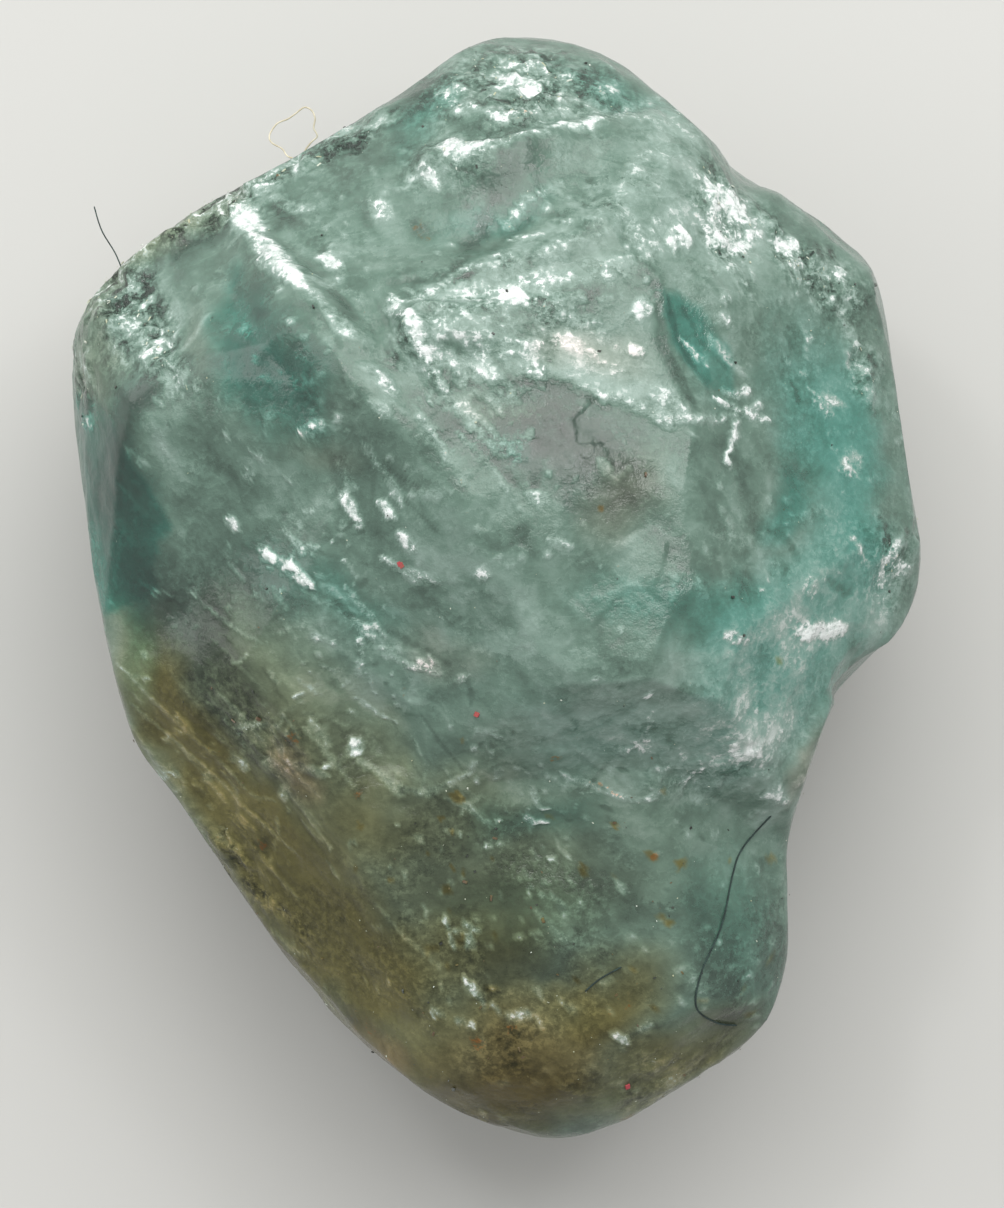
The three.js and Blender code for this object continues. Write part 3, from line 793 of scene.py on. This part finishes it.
# The bare surface. The last number of each cloud, here and below, is its seed.
ways, cells = ball_grid(SKIN_CUTS, UPWARD_LEAN)
block = np.minimum(block_distance(ways), chip_distance(ways))
spot = ways * block[:, None] + HEART
upper = risen(spot[:, 2] - HEART[2], UPPER_FROM)
upper = upper * upper * (3 - 2 * upper)
sided = risen(spot[:, 2] - HEART[2], SIDED_FROM)
drift = (cloud_at(spot, 0.9, 3, 3) - 0.5) * 0.9
sway = (cloud_at(spot, 0.9, 3, 13) - 0.5) * 0.9
x, y = spot[:, 0] + drift, spot[:, 1] + sway
frost = covered(x, y, FROST) * upper
frost = np.maximum(frost, np.clip(cloud_at(spot, 1.6, 4, 9) * 3 - 1.6, 0, 0.6) * (1 - upper))
frost *= np.clip(0.2 + 1.5 * cloud_at(spot, 0.5, 3, 19), 0, 1)
edges = strokes(spot[:, 0], spot[:, 1], line_rows(EDGES))
block += upper * mounds(spot[:, 0], spot[:, 1], RELIEF)
block += upper * edges * cloud_at(spot, 0.5, 3, 4) * 1.6
radius = block + (0.12 + 0.6 * frost) * flat_breaks(spot, 0.9, 0.16, 0.03, 5)
radius += frost * flat_breaks(spot, 0.34, 0.35, 0.03, 25)
radius += (0.008 + 0.7 * frost) * pits(spot, 0.5, 0.22, 45)
radius += 0.08 * (cloud_at(spot, 0.7, 3, 8) - 0.5)

# Where the surface lies for its markings: with ragged edges, rolled out, in the wing, along the grain
random = np.random.default_rng(31)
ripple = (cloud_at(spot, 0.3, 3, 23) - 0.5) * 0.2
ragged = 0.4 + 1.2 * cloud_at(spot, 0.22, 3, 33)
near_x, near_y = spot[:, 0] + ripple, spot[:, 1] - ripple
rolled_x = SIDE_FIELD[0] / np.pi * np.arctan2(spot[:, 1], spot[:, 0]) + ripple
rolled_y = spot[:, 2] - SIDE_FIELD[1] + 1 - ripple
far = np.hypot(x - WING_APEX[0], y - WING_APEX[1])
turn = np.arctan2(y - WING_APEX[1], x - WING_APEX[0])
reach = np.interp(np.degrees(turn), WING_RIM[:, 0], WING_RIM[:, 1], left=0.01, right=0.01)
wing = np.clip((1 - far / reach) / 0.35, 0, 1) * upper
opening = np.stack([far / 3, turn * 2.2, spot[:, 2] / 2], 1)
streaky = drawn_out(spot, CLEAVAGE_HEADING, 2.6)

# Clear places, and cloudy white places with painted light among them
clear = covered(x, y, CLEAR)
jag = 0.4 * drift + ripple
patch = shards(streaky + 0.3 * drift[:, None], 0.3, 103) - 0.5
window_shade = np.zeros_like(clear)
# Painted shade on the clear windows, kept as how much darker each point is
for share, darker, soft, outline in WINDOWS:
    here = window(spot[:, 0] + jag, spot[:, 1] - jag, outline, soft) * (1 + 0.6 * patch)
    clear = np.maximum(clear, share * here)
    window_shade += darker * here
clear = np.clip(clear, 0, 1) * sided
milky_and_lit = mounds(x, y, MILKY_AND_LIT) * sided

# White lines with painted glints and sparkles among them, dark gaps and stained spots
drawn_lines = line_rows(WHITE_BREAKS_AND_GLINTS)
lines = drawn_lines + feather_lines(FEATHERS, random)
lines += streak_lines(SMALL_BREAKS, TOP_FIELD, 0.8, 0.08, 0.6, random)
# Painted sparkles: many tiny bright lines over the top
lines += streak_lines(SPARKS, TOP_FIELD, 0.03, 0.04, 0.8, random)
gaps = line_rows(DARK_GAPS) + streak_lines(SMALL_GAPS, TOP_FIELD, 0.9, 0.12, 0.6, random)
lines += marks_over(130, TAIL_MIDDLE, TAIL_FIELD, 0.14, 0.03, 0.6, random)
gaps += marks_over(200, TAIL_MIDDLE, TAIL_FIELD, 0.16, 0.03, 0.8, random)
spots = marks_over(60, TAIL_MIDDLE, (4.2, 3.0), 0.12, 0.07, 1.0, random)
lines += scratches_over(45, (-3.6, -2.6), STAINED_FIELD, CLEAVAGE_HEADING, 1.4, 0.38, random)
gaps += scratches_over(45, (-3.3, -2.8), STAINED_FIELD, CLEAVAGE_HEADING, 1.4, 0.6, random)
side_lines = streak_lines(420, SIDE_FIELD, 0.9, 0.09, 0.9, random)
side_gaps = streak_lines(320, SIDE_FIELD, 0.9, 0.1, 0.8, random)
bold_lines = [line for line in drawn_lines if line[0] >= 0.12 and line[1] >= 0.9]
cracked = threads(spot, 1.3, 4, 0.12, 153) * np.clip(evened(cloud_at(spot, 1.1, 2, 163)), 0, 1)
haze_and_glints = np.maximum(on_top(lines), 0.9 * cracked * (1 - upper))
haze_and_glints = np.maximum(haze_and_glints, on_sides(side_lines))
bold, spots = on_top(bold_lines), on_top(spots)
dark = np.maximum(on_top(gaps), on_sides(side_gaps))
# Painted glints: the white lines brighten cell by cell, as crack faces catching the light
spark = shards(drawn_out(spot, CLEAVAGE_HEADING, 1.7) + 0.12 * sway[:, None], 0.12, 133)
white = np.maximum(haze_and_glints * (0.35 + 0.8 * spark**2), bold * (0.7 + 0.35 * spark))

# Uneven grain, and the tone that all of it adds up to: 0 is a dark gap and 1 a white break
PLAIN_TONE, SIDE_TONE, GAP_TONE = 0.37, 0.31, 0.05
grain = evened(cloud_at(streaky, 0.55, 4, 53)) * (1 - wing)
grain = grain + evened(cloud_at(opening, 0.3, 4, 63)) * wing
lumps = evened(cloud_at(spot + 0.5 * drift[:, None], 0.32, 3, 73))
veins = threads(streaky + 0.3 * sway[:, None], 0.8, 3, 0.22, 83) * (1 - wing)
veins = np.maximum(veins, threads(opening, 0.26, 3, 0.3, 93) * wing)
splinter = shards(drawn_out(spot, 30, 1.8) + 0.15 * sway[:, None], 0.17, 113)
broad = evened(cloud_at(spot, 2.0, 3, 123))
tail = covered(x, y, [(0.5, -5.4, 4.5, 3.2, 0, 1.6)])
fine = (0.1 + 0.12 * tail) * np.clip(evened(cloud_at(spot, 0.6, 3, 143)), 0, 1)
# Painted light: the places painted lighter, with the cloudy white ones, get more grain and a lighter
# tone
busy = np.clip(0.6 + 0.8 * wing + 0.5 * milky_and_lit + 0.3 * frost + 0.8 * haze_and_glints - 0.5 * clear, 0.3, 1.8)
# Painted shade: the shaded places get less grain and a darker tone
busy *= 1 - 0.45 * covered(x, y, SHADED)
tone = PLAIN_TONE + 0.03 * wing + 0.22 * np.clip(milky_and_lit, 0, 1.5) - 0.2 * covered(x, y, SHADED, 1.3)
tone += busy * ((0.05 + 0.04 * wing) * grain + 0.05 * lumps + 0.07 * patch + 0.1 * veins) + 0.02 * broad
# Painted shade: the tone is lowered towards the head, where the lamp at the head lights it most, and
# towards the foot
headward, footward = np.clip((spot[:, 1] - 1) / 4, 0, 1), np.clip((-2.5 - spot[:, 1]) / 2, 0, 1)
tone -= 0.05 * headward + 0.06 * footward + window_shade
# Frosted places: bright splinters, part white frost and part painted glints, with dark gaps between,
# here and on the lower sides
tone += frost * (0.6 * splinter**4 - 0.17 * (splinter < 0.5))
tone += (1 - tone) * 0.9 * white - 0.1 * covered(near_x, near_y, RUST) - 0.08 * spots
below = SIDE_TONE + 0.06 * lumps + 0.06 * grain + 0.08 * patch + 0.07 * veins
below += 0.3 * frost * splinter**2
below += (1 - below) * 0.9 * white * (1 - upper)
tone = below + (tone - below) * sided
tone -= (tone - GAP_TONE) * dark * 0.6
olive = mounds(x, y, OLIVE) * (0.4 + 0.6 * sided) + 0.2 * (1 - sided)
markings = {
    "tone": np.clip(tone, 0, 1),
    "white": white,
    "clear": clear,
    "busy": busy,
    "broken": np.clip(0.9 * haze_and_glints + 0.8 * frost + 0.15 * wing + 0.15 * milky_and_lit + fine, 0, 1),
    "frost": frost,
    "olive": np.clip(olive * (1 - 0.6 * haze_and_glints) + spots, 0, 1),
    "rosy": covered(x, y, ROSY) * sided,
    "rust": np.clip(0.75 * mounds(near_x, near_y, RUST), 0, 1) * upper,
}

# White lines stand up a little, dark ones sink in, and the stone ends at its wall and resting face
raised = haze_and_glints * (0.015 + 0.04 * (spark - 0.5)) - 0.012 * dark
raised = raised + frost * 0.03 * (splinter - 0.5) + 0.006 * grain
radius += raised
radius = np.minimum(radius, wall_distance(ways) - 0.01)
down = ways[:, 2] < 0
floor_reach = -HEART[2] / np.minimum(ways[:, 2], -1e-6)
radius[down] = np.minimum(radius[down], floor_reach[down])
spot = ways * radius[:, None] + HEART

# The surface fills the same box as the solid that it stands for
box_low, box_high = (np.array(corner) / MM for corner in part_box("zircon_crystal"))
stone_low, stone_high = spot.min(0), spot.max(0)
stone_scale = (box_high - box_low) / (stone_high - stone_low)
skin_points = box_low + (spot - stone_low) * stone_scale

# The colours of the cloudy stone from its dark gaps to its white breaks, and what tints them
TONES = [
    (0.0, (0.014, 0.026, 0.02, 1)), (0.36, (0.116, 0.185, 0.15, 1)),
    (0.7, (0.255, 0.34, 0.305, 1)), (1.0, (0.7, 0.74, 0.735, 1)),
]
TEAL = (0.48, 1.0, 0.97, 1)
OLIVE_TINT = (1.4, 0.8, 0.38, 1)
ROSE = (1.25, 0.9, 0.85, 1)
RUST_TINT = (1.3, 0.66, 0.42, 1)
GLASS_TINTS = (0.7, 0.95, 0.88, 1), (0.85, 0.82, 0.55, 1)  # clean, and stained
ABSORBED = {"Color": (0.4, 0.86, 0.77, 1), "Density": 110.0}
ZIRCON_IOR = 1.93


def zircon_finish():
    """Clear zircon mixed with a cloudy layer of it. The layer's share and its colour follow the tone
    that the markings give, roughened by fine grit, thin threads and shards along the cleavage, with
    bright flecks painted in as glints."""
    finish = Finish("blue_zircon")
    names = ("tone", "white", "clear", "busy", "broken", "frost", "olive", "rosy", "rust")
    tone, white, clear, busy, broken, frost, olive, rosy, rust = map(finish.painted, names)
    place = finish.place()
    grit = finish.noise(place, 9.0, 3.0, 0.7)
    bend = {0: grit, 1: (0.3, 0.3, 0.3), 2: place}
    bent = finish.add("ShaderNodeVectorMath", {"operation": "MULTIPLY_ADD"}, bend)
    turn = (0, 0, np.radians(-CLEAVAGE_HEADING))
    turned = {"Vector": bent, "Rotation": turn, "Scale": (0.4, 1.0, 0.8)}
    fibrous = finish.add("ShaderNodeMapping", {"vector_type": "POINT"}, turned)
    thread = 1 - finish.ramp(abs(finish.noise(fibrous, 2.6, 2.0, 0.6) - 0.5), 0.0, 0.03)
    lean, shard = finish.shard(fibrous, 3.2)

    # Painted glints: bright flecks, with fainter dark specks between, over broken and frosted places
    flecks = (finish.ramp(grit, 0.54, 0.58) - finish.ramp(grit, 0.46, 0.42) * 0.5) * broken
    tone = tone + (grit - 0.5) * (0.15 + frost * 0.4) + flecks * 0.3
    tone = tone + busy * ((shard - 0.5) * 0.1 + thread * 0.08)
    tone = tone + (1 - tone) * finish.ramp(white + (grit - 0.5) * 1.2, 0.4, 0.7) * 0.3
    dull = 1 - finish.ramp(tone, 0.45, 0.8)  # the white breaks take on little of the tints
    tints = [
        (finish.ramp(clear + grit * 0.3, 0.1, 1.2) * dull, TEAL),
        (olive * (dull * 0.8 + 0.2), OLIVE_TINT),
        (rosy, ROSE),
        (finish.ramp(rust + (grit - 0.5) * 2.4, 0.45, 0.9), RUST_TINT),
    ]
    colour = finish.ladder(tone, TONES)
    for share, tint in tints:
        colour = finish.blend(share, colour, tint, "MULTIPLY")

    milky_share = finish.ramp(tone * 0.9 + frost * 0.2 + olive * 0.4 - clear * 0.2, -0.45, 0.45)
    middle = {0: lean, 1: (0.5, 0.5, 0.5)}
    lean = finish.add("ShaderNodeVectorMath", {"operation": "SUBTRACT"}, middle)
    relief = finish.moved(finish.bump(grit * (0.4 + broken), 0.5, 0.06), lean, busy * 0.18)
    both = {"Roughness": 0.2 - 0.08 * frost, "IOR": ZIRCON_IOR, "Specular IOR Level": 0.1}
    both["Normal"] = relief
    glassy = {"Base Color": finish.blend(olive, *GLASS_TINTS), "Transmission Weight": 1.0}
    glass = finish.add("ShaderNodeBsdfPrincipled", {}, {**both, **glassy})
    milk = finish.add("ShaderNodeBsdfPrincipled", {}, {**both, "Base Color": colour})
    mixed = finish.add("ShaderNodeMixShader", {}, {0: milky_share, 1: glass, 2: milk})
    return finish.close(mixed, finish.add("ShaderNodeVolumeAbsorption", {}, ABSORBED))


crystal = new_piece("blue_zircon", skin_points, cells, zircon_finish(), markings)
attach(crystal, "root")
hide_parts("zircon_crystal")

# Glints and grains. Small pale flakes, painted glints of light on fresh chips, stand on the frosted rim
# and foot, and sand grains, black, rust-brown and a few red ones, sit in the pits. Each is a small
# block, half sunk in.
BLOCK = np.array([
    (-1, -1, -1), (1, -1, -1), (0.8, 0.9, -1), (-0.9, 0.7, -1),
    (-0.7, -0.8, 1), (0.6, -0.9, 1), (0.9, 0.6, 1), (-0.5, 0.8, 1),
])
BLOCK_FACES = np.array([
    (0, 3, 2, 1), (4, 5, 6, 7), (0, 1, 5, 4), (1, 2, 6, 5), (2, 3, 7, 6), (3, 0, 4, 7),
])


def blocks_on(middle, normal, length, width, height, random):
    """Small blocks on the surface. Each has its own turn about the surface's normal and its own lean
    of up to about 15 degrees."""
    up = unit(normal + random.normal(0, 0.15, normal.shape))
    ahead = unit(np.cross(up, random.normal(0, 1, up.shape)))
    aside = np.cross(up, ahead)
    shape = BLOCK[None, :, :, None] * np.stack([
        ahead * length[:, None], aside * width[:, None], up * height[:, None]
    ], 1)[:, None]
    points = (middle[:, None] + shape.sum(2)).reshape(-1, 3)
    faces = BLOCK_FACES[None] + np.arange(len(middle))[:, None, None] * len(BLOCK)
    return points, faces.reshape(-1, 4)


def grain_finish(name, colour, other, roughness):
    """Plain stone in two shades, cloud by cloud."""
    finish = Finish(name)
    shade = finish.ramp(finish.noise(finish.place(), 6.0, 2.0, 0.6), 0.35, 0.65)
    surface = {"Base Color": finish.blend(shade, colour, other), "Roughness": roughness}
    return finish.close(finish.add("ShaderNodeBsdfPrincipled", {}, {**surface, "IOR": 1.6}))


def scattered(name, chosen, least, most, slim, flat, material, seed):
    """Blocks at chosen points of the surface. Most are near the least half length, a few near the
    most. The half width is a share of it, from slim to twice slim, and the half height is the share
    flat of the width."""
    random = np.random.default_rng(seed)
    count = len(chosen)
    length = least + (most - least) * random.uniform(0, 1, count) ** 4
    width = length * random.uniform(slim, 2 * slim, count)
    places = skin_points[chosen] + random.normal(0, 0.02, (count, 3))
    blocks = blocks_on(places, skin_normals[chosen], length, width, width * flat, random)
    piece = new_piece(name, *blocks, material, smooth=False)
    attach(piece, "root")


def drawn(count, density, seed):
    """Numbers of surface points, drawn with chances in the proportions of a density."""
    return np.random.default_rng(seed).choice(len(density), count, p=density / density.sum())


def under(places):
    """Numbers of the points of the upper surface that are nearest to places seen from above."""
    far_x = skin_points[None, top, 0] - places[:, :1]
    far_y = skin_points[None, top, 1] - places[:, 1:]
    return top[(far_x**2 + far_y**2).argmin(1)]


corners = skin_points[cells]
slopes = np.cross(corners[:, 2] - corners[:, 0], corners[:, 3] - corners[:, 1])
skin_normals = np.zeros_like(skin_points)
for column in range(4):
    np.add.at(skin_normals, cells[:, column], slopes)
ground = np.linalg.norm(skin_normals, axis=1)
skin_normals /= ground[:, None]
shown = ground * upper
foot = covered(x, y, [(0.4, -6.7, 2.6, 1.1, 12, 1.0)])
glint_stone = grain_finish("glinting_chip", (0.6, 0.66, 0.6, 1), (0.4, 0.42, 0.28, 1), 0.2)
black_stone = grain_finish("black_sand", (0.012, 0.014, 0.012, 1), (0.04, 0.05, 0.04, 1), 0.4)
red_stone = grain_finish("red_sand", (0.4, 0.04, 0.06, 1), (0.3, 0.08, 0.06, 1), 0.5)
brown_stone = grain_finish("rust_sand", (0.12, 0.1, 0.03, 1), (0.09, 0.055, 0.03, 1), 0.5)
top = np.nonzero(upper > 0.4)[0]
smudge = mounds(x, y, [(3.65, 1.2, 0.55, 0.25, 100, 1.0)])  # a dark patch at the right
BLACK_GRAINS = np.array([
    (0.87, -3.31), (1.99, -3.49), (1.96, -3.52), (1.6, -4.42), (2.28, -5.71), (3.06, -5.69),
    (-4.79, 2.41), (3.42, -3.6), (-0.4, -3.9), (2.9, -3.55),
])
RED_GRAINS = np.array([(-1.4, 0.35), (-0.24, -1.84), (-1.38, 0.33), (1.97, -7.39)])
# Painted glints: pale flakes on the frosted rim and foot, and pale specks all over the top
everywhere = shown * (0.15 + frost + 0.4 * white + 0.3 * tail)
flakes = drawn(420, shown * (frost**2 + 0.06 * foot), 61)
scattered("glint_flakes", flakes, 0.012, 0.055, 0.2, 0.5, glint_stone, 71)
scattered("glint_specks", drawn(450, everywhere, 62), 0.006, 0.02, 0.4, 0.6, glint_stone, 72)
black = drawn(150, shown * (0.2 + frost + tail + 25 * smudge), 63)
black = np.concatenate([black, under(BLACK_GRAINS)])
scattered("black_grains", black, 0.01, 0.035, 0.4, 0.8, black_stone, 73)
brown = drawn(90, shown * (0.05 + tail + 0.5 * markings["olive"]), 64)
scattered("brown_grains", brown, 0.012, 0.05, 0.3, 0.6, brown_stone, 74)
scattered("red_grains", under(RED_GRAINS), 0.045, 0.06, 0.5, 0.8, red_stone, 75)

# Lint. Fibres off cloth that cling to the stone: a long dark one over the tail's right bump, a short
# one beside it, and a pale loop and a dark end that stick out at the upper left edge. Each has a name,
# half width, shade (0 dark, 1 pale), how many points its height is evened over, and its points.
LINT = [
    ("long_fibre", 0.013, 0, 3, [
        (4.08, -3.37), (3.65, -3.86), (3.5, -4.24), (3.33, -4.99), (3.03, -5.68), (2.96, -6.2),
        (3.27, -6.46), (3.59, -6.52),
    ]),
    ("short_fibre", 0.012, 0, 3, [(1.85, -5.59), (1.53, -5.77), (1.31, -5.96)]),
    ("edge_fibre", 0.01, 0, 15, [(-6.03, 5.72), (-5.91, 5.35), (-5.7, 5.0), (-5.58, 4.72)]),
    ("pale_loop", 0.012, 1, 60, [
        (-3.0, 6.4), (-3.12, 6.45), (-3.2, 6.56), (-3.36, 6.66), (-3.39, 6.78), (-3.28, 6.95),
        (-3.12, 7.02), (-3.0, 7.1), (-2.87, 7.19), (-2.76, 7.14), (-2.71, 7.02), (-2.73, 6.88),
        (-2.68, 6.76), (-2.78, 6.66), (-2.87, 6.53), (-2.82, 6.46),
    ]),
]
FIBRE_SIDES, FIBRE_STEPS = 8, 12


def fibre_run(points):
    """The same smooth line through the points from end to end, with both ends counted twice."""
    points = np.array([points[0], *points, points[-1]])
    run = curve(*(points[i:len(points) - 3 + i] for i in range(4)), FIBRE_STEPS)
    return np.concatenate([run, points[-1:]])


def fibre_tube(path, radius):
    """A round tube along the path, drawn in to a point at both ends."""
    ahead = unit(np.gradient(path, axis=0))
    aside = unit(np.cross(ahead, (0, 0, 1)))
    above = np.cross(aside, ahead)
    thick = np.full(len(path), radius)
    thick[[0, -1]] = radius * 0.02
    turn = np.arange(FIBRE_SIDES) * 2 * np.pi / FIBRE_SIDES
    ring = aside[:, None] * np.cos(turn)[:, None] + above[:, None] * np.sin(turn)[:, None]
    points = (path[:, None] + thick[:, None, None] * ring).reshape(-1, 3)
    here = np.arange(len(path) - 1)[:, None] * FIBRE_SIDES + np.arange(FIBRE_SIDES)
    after = np.roll(here, -1, 1)
    sides = np.stack([here, here + FIBRE_SIDES, after + FIBRE_SIDES, after], -1).reshape(-1, 4)
    half = FIBRE_SIDES // 2
    low = np.arange(half - 1)
    cap = np.stack([low, low + 1, FIBRE_SIDES - 2 - low, FIBRE_SIDES - 1 - low], 1)
    return points, np.concatenate([sides, cap, cap[:, ::-1] + len(points) - FIBRE_SIDES])


lint_shades = [
    grain_finish("dark_lint", (0.008, 0.02, 0.018, 1), (0.02, 0.045, 0.04, 1), 0.9),
    grain_finish("pale_lint", (0.62, 0.58, 0.45, 1), (0.45, 0.4, 0.28, 1), 0.7),
]
for name, radius, shade, ease, points in LINT:
    path = fibre_run(points)
    level = skin_points[under(path), 2]
    evenly = np.full(2 * ease + 1, 1 / (2 * ease + 1))
    level = np.convolve(np.pad(level, ease, "edge"), evenly, "valid") + 1.5 * radius
    fibre = new_piece(name, *fibre_tube(np.column_stack([path, level]), radius), lint_shades[shade])
    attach(fibre, "root")
